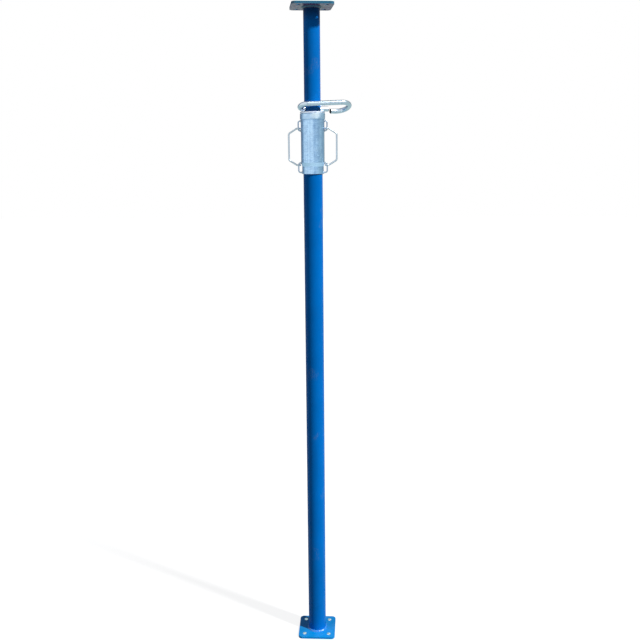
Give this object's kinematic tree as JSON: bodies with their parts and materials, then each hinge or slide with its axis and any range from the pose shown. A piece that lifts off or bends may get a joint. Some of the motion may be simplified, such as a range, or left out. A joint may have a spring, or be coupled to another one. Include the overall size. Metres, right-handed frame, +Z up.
{
  "type": "adjustable steel prop",
  "caption": "Telescopic steel prop with end plates, a long covered-thread collar with two folding handles, a load washer and a bent locking pin.",
  "frame": {"origin": "centre of the base plate's underside", "axes": "+Z up along the prop; X and Y square to the base plate's sides, with the handles along X"},
  "size_m": [0.1869, 0.1322, 1.984],
  "materials": {
    "blue_paint": "satin blue paint, lightly scuffed",
    "zinc": "hot-dip zinc, mottled",
    "weld_metal": "zinc over weld beads",
    "bright_zinc": "bright zinc plate"
  },
  "bodies": {
    "outer": {"outer_tube": "blue_paint", "base_plate": "blue_paint", "base_weld": "blue_paint", "thread_bush": "zinc"},
    "washer": {"load_washer": "zinc"},
    "collar": {"collar_head": "zinc", "thread_sleeve": "zinc", "staple_upper_left": "zinc", "staple_lower_left": "zinc", "staple_upper_right": "zinc", "staple_lower_right": "zinc", "staple_welds_left": "weld_metal", "staple_welds_right": "weld_metal"},
    "left_handle": {"handle_left": "bright_zinc"},
    "right_handle": {"handle_right": "bright_zinc"},
    "inner": {"inner_tube": "blue_paint", "head_plate": "blue_paint", "head_weld": "blue_paint"},
    "pin": {"g_pin": "bright_zinc"}
  },
  "joints": [
    {"name": "nut_travel", "type": "slide", "parent": "outer", "child": "washer", "axis": [0, 0, 1], "range_m": [0, 0.11]},
    {"name": "nut_turn", "type": "hinge", "parent": "washer", "child": "collar", "pos_m": [0, 0, 1.59], "axis": [0, 0, 1], "range_deg": [0, 4949]},
    {"name": "inner_lift", "type": "slide", "parent": "washer", "child": "inner", "axis": [0, 0, 1], "range_m": [0, 1.21]},
    {"name": "pin_pull", "type": "slide", "parent": "inner", "child": "pin", "axis": [-0.9205, -0.3907, 0], "range_m": [0, 0.023]},
    {"name": "left_handle_swing", "type": "hinge", "parent": "collar", "child": "left_handle", "pos_m": [-0.0423, 0, 1.59], "axis": [0, 0, 1], "range_deg": [-110, 110]},
    {"name": "right_handle_swing", "type": "hinge", "parent": "collar", "child": "right_handle", "pos_m": [0.0423, 0, 1.59], "axis": [0, 0, 1], "range_deg": [-110, 110]}
  ],
  "couplings": [
    {"joint": "nut_travel", "follows": "nut_turn", "m_per_rad": 0.0012732}
  ]
}
